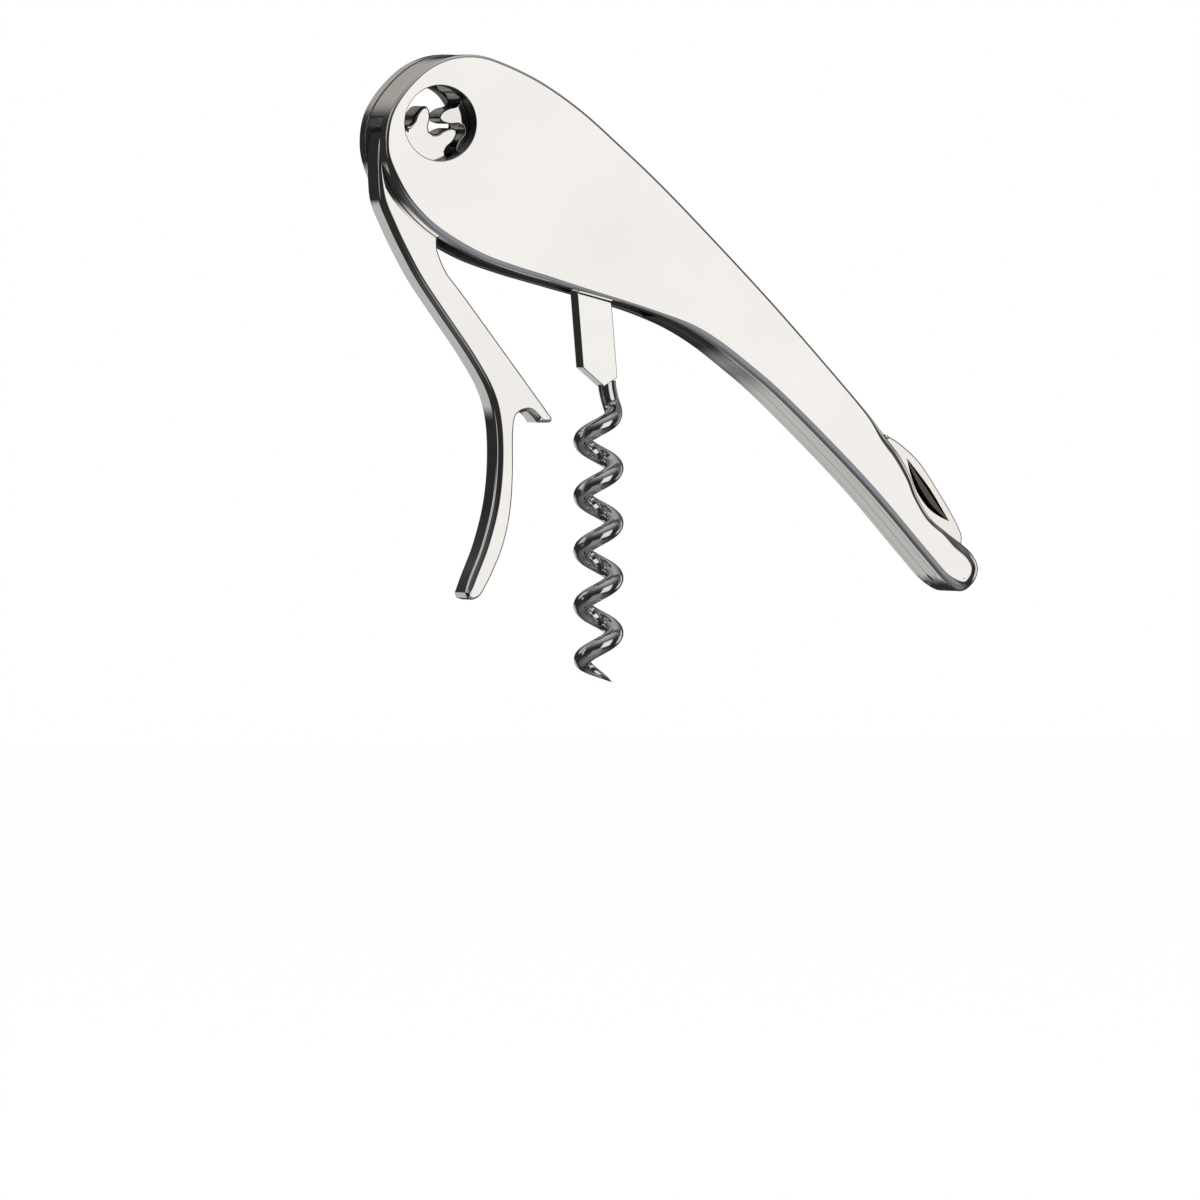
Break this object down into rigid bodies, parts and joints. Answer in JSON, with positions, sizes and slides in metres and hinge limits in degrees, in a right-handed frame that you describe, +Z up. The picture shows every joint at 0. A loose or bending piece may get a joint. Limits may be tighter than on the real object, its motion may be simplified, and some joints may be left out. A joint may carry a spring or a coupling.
{
  "type": "lever corkscrew",
  "caption": "Geared lever corkscrew: polished handle of half shells with a window on the gears, toothed lever with lip toe, lifting worm carrier, folding foil knife.",
  "frame": {"origin": "centre of the bottle mouth, on the plane of the lip that the toe sits on", "axes": "+Z up the bottle's axis, +X towards the nose of the handle, -Y out of the front cheek"},
  "size_m": [0.1063, 0.0138, 0.1054],
  "materials": {
    "polished_plate": "mirror-polished plate",
    "polished_strip": "mirror-polished strip",
    "polished_lever": "mirror-polished forging",
    "polished_gear": "bright plated, machined teeth",
    "polished_carrier": "polished plate",
    "worm_wire": "drawn and polished wire",
    "blade_steel": "ground and polished blade",
    "spring_steel": "blued leaf",
    "hard_pin": "ground pin",
    "washer": "plain",
    "bronze": "sintered bronze"
  },
  "bodies": {
    "handle": {"front_cheek": "polished_plate", "rear_cheek": "polished_plate", "crown_strip": "polished_strip", "grip_dowels": "hard_pin", "lever_pin": "hard_pin", "lever_washer_front": "washer", "lever_washer_rear": "washer", "gear_pin": "hard_pin", "gear_washer_front": "washer", "gear_washer_rear": "washer", "knife_pin": "hard_pin", "knife_spacer_front": "washer", "knife_spacer_rear": "washer", "knife_spring": "spring_steel"},
    "lever": {"lever": "polished_lever", "lever_bush": "bronze"},
    "lift_gear": {"gear_core": "polished_gear", "gear_plate_front": "polished_gear", "gear_plate_rear": "polished_gear", "gear_rivets": "hard_pin", "gear_bush": "bronze", "carrier_pin": "hard_pin"},
    "carrier": {"worm_carrier": "polished_carrier", "worm": "worm_wire", "worm_lock_pin": "hard_pin"},
    "knife": {"knife_blade": "blade_steel"}
  },
  "joints": [
    {"name": "lever_hinge", "type": "hinge", "parent": "handle", "child": "lever", "pos_m": [-0.0352, 0, 0.0427], "axis": [0, 1, 0], "range_deg": [0, 40]},
    {"name": "gear_hinge", "type": "hinge", "parent": "handle", "child": "lift_gear", "pos_m": [-0.01866, 0, 0.05264], "axis": [0, 1, 0], "range_deg": [-40, 0]},
    {"name": "carrier_hinge", "type": "hinge", "parent": "lift_gear", "child": "carrier", "pos_m": [-0.0125, 0, 0.03573], "axis": [0, 1, 0], "range_deg": [0, 80]},
    {"name": "knife_hinge", "type": "hinge", "parent": "handle", "child": "knife", "pos_m": [0.0616, 0, -0.0238], "axis": [0, 1, 0], "range_deg": [0, 125]}
  ],
  "couplings": [
    {"joint": "gear_hinge", "follows": "lever_hinge", "ratio": -1},
    {"joint": "carrier_hinge", "follows": "lever_hinge", "ratio": 2}
  ]
}
